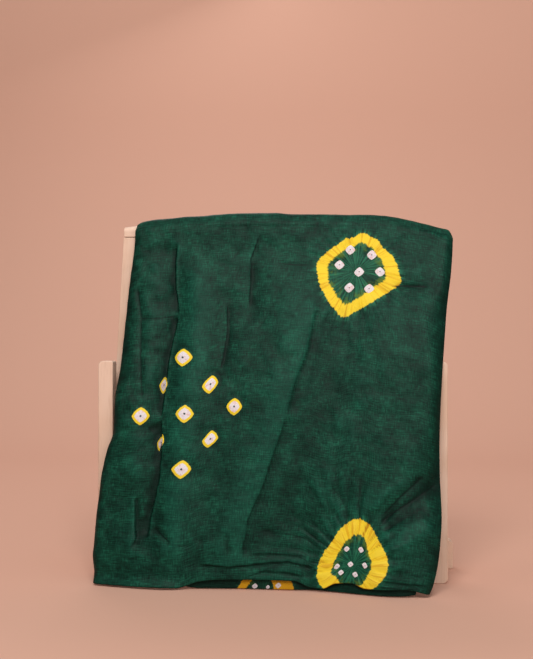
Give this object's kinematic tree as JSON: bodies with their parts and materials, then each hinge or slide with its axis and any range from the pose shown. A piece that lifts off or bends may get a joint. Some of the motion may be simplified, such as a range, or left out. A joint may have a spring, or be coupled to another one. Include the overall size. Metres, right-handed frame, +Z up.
{
  "type": "bandhani cloth on wooden display stand",
  "caption": "Dark green tie-dyed bandhani silk, folded in layers and draped over a small pale wooden display stand.",
  "frame": {"origin": "on the floor, under the middle of the whole outline", "axes": "+X to the viewer's right along the crest rail, +Y away from the viewer, +Z up"},
  "size_m": [0.408, 0.1679, 0.4127],
  "materials": {
    "silk": "fine slub silk with a slight sheen, tie-dyed with yellow and white dots and rings",
    "wood": "pale smooth wood, matt"
  },
  "bodies": {
    "root": {"cloth": "silk", "crest_rail": "wood", "post_left": "wood", "post_right": "wood", "leg_front_left": "wood", "leg_front_right": "wood", "side_rail_left": "wood", "side_rail_right": "wood", "runner_left": "wood", "runner_right": "wood", "rear_foot": "wood"}
  },
  "joints": []
}
